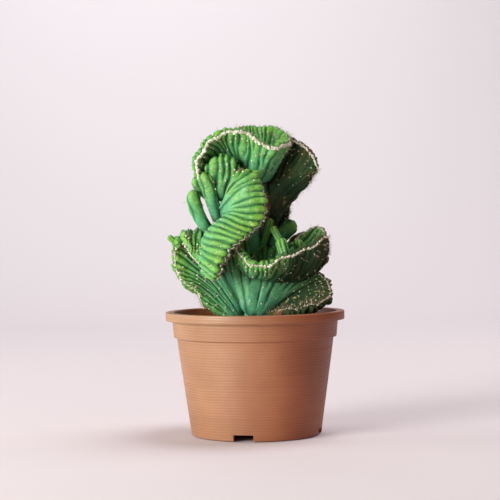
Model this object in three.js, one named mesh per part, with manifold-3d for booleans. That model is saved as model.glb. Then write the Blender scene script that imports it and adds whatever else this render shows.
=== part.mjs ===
// A crested cactus in a plastic nursery pot, in millimetres, +Z up.
// The origin is the centre of the foot circle, on the surface that the pot stands on.
// Three pieces: the injection-moulded pot, the potting mix that fills it, and the plant.
// The plant is one grown body. Its crest is a sheet that folds into lobes, and each lobe is
// described by a few guide ribs: the path of one rib from its root, through its middle, to its tip.

import * as THREE from "three";
import { mergeVertices } from "three/addons/utils/BufferGeometryUtils.js";
import Module from "manifold-3d";

const wasm = await Module();
wasm.setup();

// ---- Driving dimensions -------------------------------------------------------------------
const RIM_R = 70; // outside of the lip
const POT_H = 96;
const WALL = 1.3;
const LIP_H = 6.5; // depth of the turned-down lip
const COLLAR_R = 65.3; // outside of the collar, just under the lip
const COLLAR_FOOT_R = 63.7;
const COLLAR_Z = 76.8; // the step between the collar and the body
const STEP_H = 1.4;
const BODY_R = 61.2; // outside of the body, just under the step
const FOOT_R = 50.8;
const FOOT_W = 3.4; // width of the ring that the pot stands on
const FLOOR_Z = 5.2; // underside of the raised floor
const NOTCH_W = 15.4;
const NOTCH_H = 5;
const NOTCH_TURN = -0.2; // first notch, turned left of the front
const NOTCHES = 4;
const DRAIN_R = 3.6;
const DRAIN_RING_R = 33;
const DRAINS = 6;
const SOIL_Z = 85; // top of the potting mix at the wall
const SOIL_CROWN = 1.5; // how much higher it is in the middle
const GAP = 0.35; // clearance between pieces that touch
const SLIVER = 0.12; // joins are tidied to this
const ROUND_STEPS = 72;

const STEM_X = -4;
const STEM_Y = 0;
const STEM_R = 9;
const STEM_FOOT_Z = 66;

// ---- Helpers ------------------------------------------------------------------------------
const xyz = (x, y, z) => new THREE.Vector3(x, y, z);

// A closed geometry as a solid that can be joined and cut.
function toSolid(geometry, matrix = new THREE.Matrix4()) {
  const bare = new THREE.BufferGeometry();
  bare.setAttribute("position", geometry.getAttribute("position").clone());
  if (geometry.index) bare.setIndex(geometry.index.clone());
  bare.applyMatrix4(matrix);
  const merged = mergeVertices(bare, 1e-4);
  return new wasm.Manifold(
    new wasm.Mesh({
      numProp: 3,
      vertProperties: merged.attributes.position.array,
      triVerts: new Uint32Array(merged.index.array),
    }),
  );
}

function toGeometry(solid) {
  const mesh = solid.getMesh();
  const geometry = new THREE.BufferGeometry();
  geometry.setAttribute("position", new THREE.BufferAttribute(mesh.vertProperties, 3));
  geometry.setIndex(new THREE.BufferAttribute(mesh.triVerts, 1));
  geometry.computeVertexNormals();
  return geometry;
}

// A profile of [radius, height] pairs turned about +Z.
function turned(profile, steps = ROUND_STEPS) {
  const points = profile.map(([r, z]) => new THREE.Vector2(r, z));
  const upright = new THREE.Matrix4().makeRotationX(Math.PI / 2);
  return toSolid(new THREE.LatheGeometry(points, steps), upright);
}

// The biggest closed skin of a joined solid, without the slivers that the joins leave.
function largest(solid) {
  const skins = solid.simplify(SLIVER).decompose();
  return skins.sort((a, b) => b.volume() - a.volume())[0];
}

function drum(radius, height, x, y, zMiddle, steps) {
  const upright = new THREE.Matrix4().makeRotationX(Math.PI / 2);
  const place = new THREE.Matrix4().makeTranslation(x, y, zMiddle).multiply(upright);
  return toSolid(new THREE.CylinderGeometry(radius, radius, height, steps), place);
}

// ---- The pot ------------------------------------------------------------------------------
function potSolid() {
  const innerTop = COLLAR_R - WALL;
  let pot = turned([
    [0, FLOOR_Z],
    [FOOT_R - FOOT_W - 1, FLOOR_Z],
    [FOOT_R - FOOT_W, 0],
    [FOOT_R - 0.6, 0],
    [FOOT_R, 0.8],
    [BODY_R, COLLAR_Z - STEP_H],
    [COLLAR_FOOT_R - 0.4, COLLAR_Z - 0.5],
    [COLLAR_FOOT_R, COLLAR_Z],
    [COLLAR_R, POT_H - WALL],
    [RIM_R - WALL, POT_H - WALL],
    [RIM_R - WALL, POT_H - LIP_H],
    [RIM_R, POT_H - LIP_H],
    [RIM_R, POT_H - 0.8],
    [RIM_R - 0.8, POT_H],
    [innerTop + 0.8, POT_H],
    [innerTop, POT_H - 0.8],
    [COLLAR_FOOT_R - WALL, COLLAR_Z + 0.8],
    [BODY_R - WALL, COLLAR_Z - STEP_H + 0.4],
    [FOOT_R - WALL + 0.4, FLOOR_Z + WALL + 1.6],
    [FOOT_R - WALL - 1.4, FLOOR_Z + WALL],
    [0, FLOOR_Z + WALL],
  ]);
  for (let i = 0; i < NOTCHES; i++) {
    const turn = NOTCH_TURN + (i * 2 * Math.PI) / NOTCHES;
    const place = new THREE.Matrix4()
      .makeRotationZ(turn)
      .multiply(new THREE.Matrix4().makeTranslation(0, -FOOT_R, 0));
    const block = new THREE.BoxGeometry(NOTCH_W, 4 * FOOT_W, 2 * NOTCH_H);
    pot = pot.subtract(toSolid(block, place));
  }
  for (let i = 0; i < DRAINS; i++) {
    const turn = (i * 2 * Math.PI) / DRAINS;
    const x = DRAIN_RING_R * Math.cos(turn);
    const y = DRAIN_RING_R * Math.sin(turn);
    pot = pot.subtract(drum(DRAIN_R, 4 * WALL, x, y, FLOOR_Z + WALL / 2, 12));
  }
  return pot.subtract(drum(DRAIN_R, 4 * WALL, 0, 0, FLOOR_Z + WALL / 2, 12));
}

// ---- The potting mix, with the hole that the stem has grown in ------------------------------
function soilSolid() {
  const bed = turned(
    [
      [0, FLOOR_Z + WALL + GAP],
      [FOOT_R - WALL - 1.6, FLOOR_Z + WALL + GAP],
      [FOOT_R - WALL, FLOOR_Z + WALL + 1.8],
      [BODY_R - WALL - GAP - 0.3, COLLAR_Z - STEP_H],
      [COLLAR_FOOT_R - WALL - GAP - 0.3, COLLAR_Z + 1.2],
      [COLLAR_FOOT_R - WALL - GAP + 0.4, SOIL_Z],
      [30, SOIL_Z + 0.7 * SOIL_CROWN],
      [0, SOIL_Z + SOIL_CROWN],
    ],
    60,
  );
  return bed;
}

// ---- The plant ----------------------------------------------------------------------------
// half: half the sheet's thickness at the root and at the tip. steps: samples across and along.
const LOBES = {
  base_fan: {
    half: [5, 3.2],
    steps: [40, 6],
    guides: [
      [[-12, -4, 87], [-26, -6, 92], [-40, -7, 99]],
      [[-12, -3, 89], [-30, -5, 101], [-46, -9, 111]],
      [[-11, -2, 91], [-36, -4, 110], [-57, -11, 120]],
      [[-10, -1, 94], [-42, -3, 120], [-63, -10, 131]],
      [[-9, 0, 96], [-46, -1, 132], [-63, -9, 143]],
      [[-8, 1, 98], [-46, 1, 145], [-55, -13, 151]],
      [[-7, 2, 100], [-40, 2, 153], [-47, -21, 140]],
      [[-6, 2, 101], [-33, 2, 151], [-38, -26, 129]],
      [[-5, 2, 101], [-26, 1, 144], [-30, -29, 122]],
      [[-4, 2, 101], [-16, 0, 130], [-22, -4, 146]],
      [[-3, 2, 101], [-3, -1, 126], [-4, 4, 156]],
      [[0, 2, 101], [12, -1, 124], [14, 4, 148]],
      [[2, 1, 100], [24, 0, 120], [33, -2, 136]],
      [[4, 0, 98], [32, 1, 116], [50, -4, 126]],
      [[5, 0, 96], [36, 0, 110], [59, -8, 117]],
      [[5, -1, 93], [34, -4, 103], [59, -18, 107]],
      [[4, -3, 90], [28, -10, 97], [51, -28, 101]],
      [[2, -5, 88], [18, -15, 93], [36, -34, 98]],
      [[0, -6, 87], [8, -16, 91], [18, -30, 96]],
    ],
  },
  front_cape: {
    half: [4.5, 3],
    steps: [24, 6],
    guides: [
      [[-24, -2, 124], [-37, -15, 126], [-33, -27, 121]],
      [[-25, 3, 130], [-39, -17, 134], [-28, -33, 125]],
      [[-25, 3, 140], [-39, -19, 144], [-24, -36, 137]],
      [[-24, 2, 150], [-35, -22, 155], [-16, -40, 148]],
      [[-22, 1, 160], [-26, -29, 163], [-4, -42, 157]],
      [[-22, -1, 166], [-15, -33, 170], [6, -41, 167]],
      [[-24, -3, 170], [-10, -35, 179], [9, -39, 180]],
      [[-25, -4, 173], [-11, -34, 187], [6, -36, 193]],
      [[-26, -4, 175], [-15, -31, 192], [0, -31, 203]],
      [[-27, -3, 176], [-20, -27, 191], [-11, -27, 206]],
    ],
  },
  top_hood: {
    half: [5, 3],
    steps: [40, 6],
    guides: [
      [[-14, 5, 180], [-28, 1, 183], [-39, -4, 189]],
      [[-14, 4, 188], [-31, -2, 193], [-43, -12, 198]],
      [[-14, 3, 194], [-33, -5, 204], [-45, -20, 208]],
      [[-12, 3, 198], [-31, -6, 214], [-43, -24, 217]],
      [[-11, 2, 200], [-26, -7, 220], [-36, -25, 227]],
      [[-9, 1, 200], [-20, -8, 223], [-26, -25, 234]],
      [[-7, 0, 200], [-13, -10, 222], [-17, -25, 237]],
      [[-5, 0, 200], [-6, -13, 219], [-8, -25, 237]],
      [[-3, 0, 200], [0, -15, 215], [1, -26, 232]],
      [[-1, 0, 199], [5, -17, 212], [9, -27, 226]],
      [[2, 1, 198], [10, -15, 211], [18, -26, 224]],
      [[5, 2, 198], [15, -8, 212], [25, -16, 227]],
      [[7, 5, 198], [18, 0, 214], [27, -4, 232]],
      [[8, 8, 198], [17, 8, 217], [23, 9, 238]],
      [[6, 11, 199], [12, 14, 220], [14, 17, 241]],
      [[3, 13, 200], [4, 17, 221], [2, 19, 242]],
      [[-1, 13, 201], [-8, 16, 220], [-13, 13, 241]],
    ],
  },
  right_cone: {
    half: [5, 3],
    steps: [28, 6],
    guides: [
      [[6, 12, 180], [14, 14, 208], [24, 14, 231]],
      [[7, 10, 177], [20, 8, 205], [31, 4, 231]],
      [[8, 8, 174], [24, 5, 201], [38, -5, 227]],
      [[9, 7, 171], [27, 4, 197], [45, -11, 220]],
      [[10, 6, 168], [29, 4, 193], [50, -11, 213]],
      [[11, 6, 165], [28, 5, 187], [49, -2, 204]],
      [[11, 7, 161], [24, 8, 180], [38, 7, 194]],
      [[11, 9, 157], [20, 12, 172], [30, 12, 184]],
      [[10, 10, 152], [18, 13, 163], [28, 15, 172]],
      [[10, 10, 146], [17, 12, 154], [27, 13, 158]],
    ],
  },
  dish: {
    half: [4.5, 3],
    steps: [32, 6],
    guides: [
      [[-6, 3, 127], [-12, -8, 138], [-12, -18, 148]],
      [[-3, 1, 126], [-6, -18, 132], [-8, -31, 140]],
      [[0, 0, 125], [0, -23, 128], [0, -38, 135]],
      [[3, 0, 125], [7, -25, 127], [8, -41, 134]],
      [[6, 0, 124], [14, -24, 127], [17, -41, 138]],
      [[9, 0, 123], [22, -21, 127], [27, -38, 142]],
      [[11, 0, 122], [30, -17, 127], [37, -34, 145]],
      [[13, 1, 121], [38, -13, 128], [46, -29, 149]],
      [[14, 2, 121], [42, -10, 128], [52, -23, 155]],
      [[15, 3, 120], [44, -6, 127], [57, -16, 152]],
      [[15, 4, 120], [43, -3, 125], [58, -12, 143]],
      [[15, 5, 119], [40, 0, 122], [54, -8, 132]],
    ],
  },
  dish_back: {
    half: [4.5, 2.8],
    steps: [16, 6],
    guides: [
      [[12, 7, 138], [22, 8, 146], [32, 4, 153]],
      [[13, 7, 134], [28, 7, 145], [40, 4, 158]],
      [[14, 7, 130], [33, 6, 142], [48, 3, 161]],
      [[14, 6, 126], [37, 6, 138], [55, 0, 159]],
      [[14, 5, 122], [40, 5, 132], [58, -1, 150]],
      [[14, 4, 119], [39, 4, 126], [55, 0, 139]],
    ],
  },
  inner_fan: {
    half: [4, 3.4],
    steps: [16, 5],
    guides: [
      [[-29, -6, 182], [-33, -11, 195], [-38, -16, 207]],
      [[-28, -7, 182], [-31, -14, 198], [-34, -20, 213]],
      [[-26, -8, 182], [-26, -16, 200], [-26, -22, 217]],
      [[-24, -8, 182], [-21, -16, 200], [-19, -22, 217]],
      [[-22, -8, 182], [-17, -15, 198], [-13, -20, 213]],
      [[-20, -6, 183], [-14, -12, 195], [-9, -16, 206]],
    ],
  },
  left_finger: {
    half: [4, 3.2],
    steps: [8, 5],
    guides: [
      [[-29, -3, 164], [-37, -10, 185], [-43, -14, 200]],
      [[-26, -6, 164], [-33, -15, 187], [-38, -19, 205]],
      [[-23, -5, 164], [-28, -13, 186], [-33, -17, 201]],
    ],
  },
  left_paddle: {
    half: [4, 3],
    steps: [10, 5],
    guides: [
      [[-31, 0, 152], [-46, -7, 170], [-51, -9, 187]],
      [[-30, -3, 153], [-43, -12, 172], [-47, -13, 191]],
      [[-29, 0, 155], [-39, -8, 173], [-42, -8, 189]],
    ],
  },
  side_paddle: {
    half: [3.6, 3],
    steps: [8, 5],
    guides: [
      [[-30, 3, 180], [-42, -2, 188], [-48, -4, 198]],
      [[-29, 1, 183], [-39, -6, 192], [-46, -9, 202]],
      [[-28, 3, 186], [-36, -4, 195], [-41, -8, 204]],
    ],
  },
  waist_paddle: {
    half: [4.4, 3.6],
    steps: [8, 5],
    guides: [
      [[12, 4, 149], [20, 1, 160], [26, -1, 168]],
      [[13, 2, 146], [24, -3, 157], [32, -4, 166]],
      [[14, 4, 143], [26, 0, 152], [35, -2, 159]],
    ],
  },
  rear_fan: {
    half: [5, 3],
    steps: [26, 5],
    guides: [
      [[-12, 4, 92], [-30, 15, 98], [-46, 20, 106]],
      [[-11, 5, 97], [-29, 22, 112], [-42, 32, 122]],
      [[-8, 6, 101], [-18, 28, 119], [-28, 42, 136]],
      [[-4, 7, 103], [-6, 25, 124], [-11, 33, 145]],
      [[1, 7, 103], [7, 24, 123], [7, 36, 144]],
      [[5, 6, 101], [18, 28, 116], [25, 44, 132]],
      [[7, 5, 97], [29, 21, 106], [42, 34, 117]],
      [[8, 3, 92], [30, 12, 97], [48, 18, 103]],
    ],
  },
  rear_crest: {
    half: [5, 3],
    steps: [24, 5],
    guides: [
      [[-14, 8, 148], [-25, 18, 160], [-31, 22, 175]],
      [[-11, 9, 151], [-20, 26, 167], [-26, 36, 188]],
      [[-6, 10, 153], [-9, 23, 174], [-13, 31, 198]],
      [[0, 10, 153], [4, 26, 172], [4, 41, 192]],
      [[6, 9, 151], [14, 25, 162], [20, 38, 176]],
      [[9, 8, 147], [19, 18, 152], [27, 27, 159]],
    ],
  },
};

// Young shoots on the crest: where each starts and ends, and its radius.
const BUDS = [
  [[-5, -27, 203], [3, -30, 202], 3.4],
  [[6, 1, 144], [13, -9, 166], 2.6],
  [[25, -31, 134], [21, -27, 149], 4.4],
  [[22, -27, 147], [15, -24, 160], 2.7],
  [[-57, -10, 147], [-65, -9, 154], 2.4],
  [[-46, -2, 150], [-49, -3, 158], 2.2],
  [[36, -14, 129], [34, -14, 148], 4],
];

function lobeSolid({ half, steps, guides }) {
  const tracks = [0, 1, 2].map(
    (k) => new THREE.CatmullRomCurve3(guides.map((g) => xyz(...g[k])), false, "catmullrom", 0.5),
  );
  const edgeLength = tracks[2].getLength();
  const endShare = (1.4 * half[1]) / edgeLength;
  const tipShare = 0.14;
  const onSheet = (u, v) => {
    const [root, middle, tip] = tracks.map((t) => t.getPoint(u));
    return root
      .multiplyScalar((1 - v) * (1 - 2 * v))
      .addScaledVector(middle, 4 * v * (1 - v))
      .addScaledVector(tip, v * (2 * v - 1));
  };
  const rounded = (share) => Math.sqrt(Math.max(0, 1 - (1 - Math.min(1, share)) ** 2));
  const geometry = new THREE.BoxGeometry(1, 1, 1, steps[0], steps[1], 1);
  const place = geometry.getAttribute("position");
  for (let i = 0; i < place.count; i++) {
    const u = place.getX(i) + 0.5;
    const v = Math.sin(((place.getY(i) + 0.5) * Math.PI) / 2);
    const d = 1e-3;
    const [u0, u1] = [Math.max(0, u - d), Math.min(1, u + d)];
    const [v0, v1] = [Math.max(0, v - d), Math.min(1, v + d)];
    const across = onSheet(u1, v).sub(onSheet(u0, v));
    const along = onSheet(u, v1).sub(onSheet(u, v0));
    const normal = across.cross(along).normalize();
    const round = Math.min(
      rounded(Math.min(u, 1 - u) / endShare),
      rounded((1 - v) / tipShare),
    );
    const thick = THREE.MathUtils.lerp(half[0], half[1], v) * Math.max(0.1, round);
    const point = onSheet(u, v).addScaledVector(normal, thick * Math.sign(place.getZ(i)));
    place.setXYZ(i, point.x, point.y, point.z);
  }
  return toSolid(geometry);
}

function budSolid([from, to, radius]) {
  const [start, end] = [xyz(...from), xyz(...to)];
  const along = end.clone().sub(start);
  const length = along.length();
  const turn = new THREE.Quaternion().setFromUnitVectors(xyz(0, 1, 0), along.normalize());
  const place = new THREE.Matrix4().compose(start.lerp(end, 0.5), turn, xyz(1, 1, 1));
  return toSolid(new THREE.CapsuleGeometry(radius, length, 3, 10), place);
}

// A core that carries the lobes: rings of [x, y, z, radius across, radius deep].
function stalkSolid() {
  const rings = [
    [STEM_X, STEM_Y, STEM_FOOT_Z, 6, 5],
    [STEM_X, STEM_Y, 76, STEM_R, 7],
    [-4, 0, 92, 11, 8],
    [-3, 3, 110, 15, 8],
    [-4, 5, 130, 20, 8],
    [-4, 6, 150, 21, 9],
    [-3, 6, 166, 19, 9],
    [-2, 7, 182, 16, 9],
    [-2, 7, 196, 13, 8],
    [-1, 6, 206, 9, 6],
  ];
  const geometry = new THREE.CylinderGeometry(1, 1, 1, 20, rings.length - 1);
  const place = geometry.getAttribute("position");
  for (let i = 0; i < place.count; i++) {
    const ring = Math.round((place.getY(i) + 0.5) * (rings.length - 1));
    const [x, y, z, across, deep] = rings[ring];
    place.setXYZ(i, x + across * place.getX(i), y - deep * place.getZ(i), z);
  }
  return toSolid(geometry);
}

function cactusSolid() {
  const shoots = [...Object.values(LOBES).map(lobeSolid), ...BUDS.map(budSolid)];
  return largest(shoots.reduce((whole, shoot) => whole.add(shoot), stalkSolid()));
}

// ---- The object -----------------------------------------------------------------------------
function piece(name, solid, color, roughness) {
  const material = new THREE.MeshStandardMaterial({ color, roughness, metalness: 0 });
  const mesh = new THREE.Mesh(toGeometry(solid), material);
  mesh.name = name;
  return mesh;
}

const cactus = cactusSolid();

// The mix is cut by the plant moved a little each way, which leaves the clearance all round.
const steps = [
  [GAP, 0, 0],
  [-GAP, 0, 0],
  [0, GAP, 0],
  [0, -GAP, 0],
  [0, 0, -GAP],
];
const mix = steps.reduce((left, step) => left.subtract(cactus.translate(step)), soilSolid());

const pottedCactus = new THREE.Group();
pottedCactus.name = "potted_cactus";
pottedCactus.add(piece("pot", potSolid(), 0xb5795a, 0.55));
pottedCactus.add(piece("potting_mix", largest(mix), 0x3b2a1f, 0.95));
pottedCactus.add(piece("cactus", cactus, 0x3f7d45, 0.6));

export default pottedCactus;
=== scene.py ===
# %% [markdown]
# # A crested cactus in a nursery pot
#
# This lesson gives a small potted plant its visible surface. The imported model brings the true
# sizes: a tapered pot, the potting mix in it and a plant whose crest has folded into lobes.
# Everything below is in metres and in that model's frame, so each new piece is made where it
# stands: +Z is up, -Y faces the viewer and the origin is the middle of the pot's foot.

# %% Load the imported model
import math

import bmesh
import bpy
import numpy as np
from mathutils import Matrix, Vector


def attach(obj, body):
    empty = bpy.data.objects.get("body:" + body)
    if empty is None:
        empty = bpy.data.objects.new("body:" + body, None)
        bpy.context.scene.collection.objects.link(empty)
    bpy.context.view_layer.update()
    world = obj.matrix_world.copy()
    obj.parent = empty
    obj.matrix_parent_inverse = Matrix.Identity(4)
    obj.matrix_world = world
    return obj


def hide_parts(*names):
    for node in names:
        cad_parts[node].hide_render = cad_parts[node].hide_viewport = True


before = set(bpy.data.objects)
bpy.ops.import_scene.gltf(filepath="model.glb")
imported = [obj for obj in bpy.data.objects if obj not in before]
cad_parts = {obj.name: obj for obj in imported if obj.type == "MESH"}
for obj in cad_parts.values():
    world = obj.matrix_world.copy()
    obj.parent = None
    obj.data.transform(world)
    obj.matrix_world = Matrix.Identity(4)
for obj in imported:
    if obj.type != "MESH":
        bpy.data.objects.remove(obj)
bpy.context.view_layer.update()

MM = 0.001

# %% [markdown]
# ## Helpers for materials
#
# Every finish here is a small node tree. One function adds a node, sets it up and links it, and
# short ones on top of it make the nodes that most finishes share, so that a material reads as a
# list of steps. Colours are written as the sRGB hex values that a painter would pick from a
# chart, and one function turns them into the linear values that the shader wants.

# %% Colour and node helpers
def linear(hex_colour, alpha=1.0):
    """An sRGB hex colour such as "#4c8a45" as linear RGBA."""
    channels = [int(hex_colour[i : i + 2], 16) / 255 for i in (1, 3, 5)]
    return (
        *[c / 12.92 if c <= 0.04045 else ((c + 0.055) / 1.055) ** 2.4 for c in channels],
        alpha,
    )


def node(tree, kind, inputs=None, stops=None, **settings):
    """Adds a shader node. inputs takes values or other nodes' sockets, stops fills a ramp."""
    made = tree.nodes.new("ShaderNode" + kind)
    for name, value in settings.items():
        setattr(made, name, value)
    for name, value in (inputs or {}).items():
        if isinstance(value, bpy.types.NodeSocket):
            tree.links.new(value, made.inputs[name])
        else:
            made.inputs[name].default_value = value
    if stops:
        marks = made.color_ramp.elements
        while len(marks) < len(stops):
            marks.new(0.5)
        for mark, (position, colour) in zip(marks, stops):
            mark.position, mark.color = position, linear(colour)
    return made


def new_material(name):
    """An empty material with a Principled shader, and its node tree."""
    material = bpy.data.materials.new(name)
    material.use_nodes = True
    material.node_tree.nodes.clear()
    tree = material.node_tree
    shader = node(tree, "BsdfPrincipled")
    node(tree, "OutputMaterial", {"Surface": shader.outputs[0]})
    return material, tree, shader


# %% The nodes that most finishes use
def noise(tree, place, scale, detail):
    """Cloudy noise around 0.5. Its patches are about 1 / scale metres wide."""
    sockets = {"Vector": place, "Scale": scale, "Detail": detail}
    return node(tree, "TexNoise", sockets).outputs["Fac"]


def ramp(tree, value, *stops):
    """A colour for each value, through (position, colour) stops."""
    return node(tree, "ValToRGB", {"Fac": value}, stops=stops).outputs["Color"]


def remap(tree, value, old, new=(0.0, 1.0)):
    """The old range of a value stretched to the new one, and kept inside it."""
    sockets = {"Value": value, "From Min": old[0], "From Max": old[1]}
    sockets |= {"To Min": new[0], "To Max": new[1]}
    return node(tree, "MapRange", sockets).outputs[0]


def blend(tree, share, first, second, way="MIX"):
    """Two colours in one. A Mix node takes them at its sockets 6 and 7 and gives its output 2."""
    sockets = {0: share, 6: first, 7: second}
    return node(tree, "Mix", sockets, data_type="RGBA", blend_type=way).outputs[2]


def maths(tree, operation, first, second):
    return node(tree, "Math", {0: first, 1: second}, operation=operation).outputs[0]


# %% [markdown]
# ## Helpers for meshes
#
# Each piece starts in a bmesh, is shaped there by operators and becomes a mesh object that
# rides on the model's one body. A piece can carry numbers on its points, such as how high on a
# rib a point lies, and its material reads them as attributes.

# %% Turn a finished bmesh into a piece
def finish_piece(bm, name, material, replaces=None, attributes=None):
    """The bmesh as a smooth-shaded piece on the root body."""
    for face in bm.faces:
        face.smooth = True
    mesh = bpy.data.meshes.new(name)
    bm.to_mesh(mesh)
    bm.free()
    for label, values in (attributes or {}).items():
        mesh.attributes.new(label, "FLOAT", "POINT").data.foreach_set(
            "value", np.asarray(values, dtype=np.float32)
        )
    mesh.materials.append(material)
    piece = bpy.data.objects.new(name, mesh)
    bpy.context.scene.collection.objects.link(piece)
    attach(piece, "root")
    if replaces:
        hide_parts(replaces)
    print(f"{name}: {len(mesh.vertices)} points, {len(mesh.polygons)} faces")
    return piece


def bake_modifiers(piece):
    """Applies a piece's modifiers, so that the mesh is its final shape."""
    bpy.context.view_layer.update()
    seen = piece.evaluated_get(bpy.context.evaluated_depsgraph_get())
    solid = bpy.data.meshes.new_from_object(seen)
    piece.modifiers.clear()
    piece.data = solid
    return piece


# %% [markdown]
# ## Camera, floor and light
#
# The plant stands on a pale sweep of paper and is lit like a window portrait: a large soft
# window light from the left and a little in front, a weak glow from the left side, a soft light
# overhead and one that washes the backdrop. Nothing fills the right side, so it stays in
# shade. The camera is a long lens a bit over a metre away, just above the rim, so that the
# pot's ellipses stay flat. It is set up first, because every later choice of detail is judged
# through it.

# %% Set the camera
CAMERA_AWAY = 1.23
CAMERA_HEIGHT = 0.165
camera_data = bpy.data.cameras.new("camera")
camera_data.sensor_width = 36
camera_data.lens = 113.0
camera_data.clip_start = 0.05
camera_data.shift_x = -0.0084
camera = bpy.data.objects.new("camera", camera_data)
camera.location = (0, -CAMERA_AWAY, CAMERA_HEIGHT)
camera.rotation_euler = (math.radians(90 - 0.99), 0, 0)
camera.rotation_euler.rotate_axis("Z", math.radians(-0.75))
bpy.context.scene.collection.objects.link(camera)
bpy.context.scene.camera = camera
print("camera lens", camera_data.lens, "mm")

# %% [markdown]
# The sweep is a strip that runs along the floor and then curves up behind the plant, so no
# horizon line cuts the picture. A short row of edges is extruded along its path and bevelled
# where it turns.

# %% Make the paper sweep
def make_sweep():
    bm = bmesh.new()
    near = [bm.verts.new((x, -2.0, -0.0005)) for x in (-3.0, 3.0)]
    edge = bm.edges.new(near)
    for step in ((0, 4.4, 0), (0, 0.9, 2.8)):
        grown = bmesh.ops.extrude_edge_only(bm, edges=[edge])["geom"]
        corners = [g for g in grown if isinstance(g, bmesh.types.BMVert)]
        bmesh.ops.translate(bm, verts=corners, vec=step)
        edge = next(g for g in grown if isinstance(g, bmesh.types.BMEdge))
    bend = [e for e in bm.edges if all(abs(v.co.y - 2.4) < 0.01 for v in e.verts)]
    bmesh.ops.bevel(
        bm, geom=bend, offset=1.1, segments=24, profile=0.5, affect="EDGES", material=-1
    )
    bmesh.ops.recalc_face_normals(bm, faces=bm.faces)
    if sum(f.normal.z * f.calc_area() for f in bm.faces) < 0:
        bmesh.ops.reverse_faces(bm, faces=bm.faces)
    for face in bm.faces:
        face.smooth = True
    mesh = bpy.data.meshes.new("paper_sweep")
    bm.to_mesh(mesh)
    bm.free()
    sweep = bpy.data.objects.new("paper_sweep", mesh)
    bpy.context.scene.collection.objects.link(sweep)
    return sweep


paper, tree, shader = new_material("matt_blush_paper")
shader.inputs["Base Color"].default_value = linear("#e4dce0")
shader.inputs["Roughness"].default_value = 0.9
shader.inputs["Specular IOR Level"].default_value = 0.15
sweep = make_sweep()
sweep.data.materials.append(paper)
print("sweep faces:", len(sweep.data.polygons))


# %% Hang the lights
def soft_light(name, place, target, size, power, colour):
    data = bpy.data.lights.new(name, "AREA")
    data.shape = "DISK"
    data.size, data.energy, data.color = size, power, linear(colour)[:3]
    light = bpy.data.objects.new(name, data)
    light.location = place
    light.rotation_euler = (Vector(target) - Vector(place)).to_track_quat("-Z", "Y").to_euler()
    bpy.context.scene.collection.objects.link(light)
    return light


soft_light("window", (-1.25, -1.16, 0.42), (0, 0, 0.12), 1.0, 41, "#fffdf6")
soft_light("side_glow", (-1.35, 0.35, 0.5), (0, 0, 0.12), 0.9, 7, "#fffdfc")
soft_light("overhead", (0.7, 0.3, 1.8), (0.3, 0.2, 0), 1.4, 24, "#fffafb")
soft_light("backdrop_wash", (-0.4, 1.7, 2.2), (0.0, 3.1, 0.7), 1.6, 31, "#f6fdff")
world = bpy.data.worlds.new("studio")
world.use_nodes = True
world.node_tree.nodes.clear()
# The room gives a weak warm light; looked at directly, it is as pale as the paper.
room = node(world.node_tree, "Background", {"Color": linear("#f8c6ae"), "Strength": 0.075})
wall = node(world.node_tree, "Background", {"Color": linear("#efe9ec"), "Strength": 1.0})
seen = node(world.node_tree, "LightPath").outputs["Is Camera Ray"]
both = node(world.node_tree, "MixShader", {0: seen, 1: room.outputs[0], 2: wall.outputs[0]})
node(world.node_tree, "OutputWorld", {"Surface": both.outputs[0]})
bpy.context.scene.world = world
bpy.context.scene.view_settings.view_transform = "Standard"

# %% [markdown]
# ## The pot
#
# The pot is injection-moulded polypropylene: a thin tapered wall, a slightly wider collar under
# a turned-down lip, a raised floor and a foot ring with notches that let water out. Every
# section through its axis is the same, so one profile is drawn, its corners are rounded by a
# bevel and it is spun round the axis. The notches and drain holes are cut afterwards.

# %% The pot's sizes in mm
RIM_R, POT_H, WALL, LIP_H = 70, 96, 1.3, 6.5
COLLAR_R, COLLAR_FOOT_R, COLLAR_Z, STEP_H = 65.3, 63.7, 76.8, 1.4
BODY_R, FOOT_R, FOOT_W, FLOOR_Z = 61.2, 50.8, 3.4, 5.2
NOTCH_W, NOTCH_H, NOTCH_TURN, NOTCHES = 15.4, 5.0, -0.2, 4
DRAIN_R, DRAIN_RING_R, DRAINS = 3.6, 33, 6
POT_STEPS, POT_ROUNDING = 192, 0.55
SHARPEST = math.radians(38)  # steeper edges than this are drawn as corners
print("pot:", 2 * RIM_R, "mm wide,", POT_H, "mm high,", 2 * FOOT_R, "mm across the foot")

# %% Spin a profile
def spun(profile, steps, rounding):
    """A profile of (radius, height) pairs in mm, rounded and spun round Z into a bmesh."""
    bm = bmesh.new()
    points = [bm.verts.new((r * MM, 0, z * MM)) for r, z in profile]
    for a, b in zip(points, points[1:]):
        bm.edges.new((a, b))
    bmesh.ops.bevel(
        bm,
        geom=[v for v in bm.verts if len(v.link_edges) == 2],
        offset=rounding * MM,
        segments=3,
        profile=0.5,
        affect="VERTICES",
        material=-1,
    )
    bmesh.ops.spin(
        bm,
        geom=[*bm.verts, *bm.edges],
        cent=(0, 0, 0),
        axis=(0, 0, 1),
        angle=math.tau,
        steps=steps,
        use_merge=True,
    )
    bmesh.ops.remove_doubles(bm, verts=bm.verts, dist=1e-6)
    bmesh.ops.recalc_face_normals(bm, faces=bm.faces)
    return bm


# %% Blocks and drills for the cuts
def cutter(name, bm):
    """A solid for a boolean cut."""
    mesh = bpy.data.meshes.new(name)
    bm.to_mesh(mesh)
    bm.free()
    tool = bpy.data.objects.new(name, mesh)
    bpy.context.scene.collection.objects.link(tool)
    return tool


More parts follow.
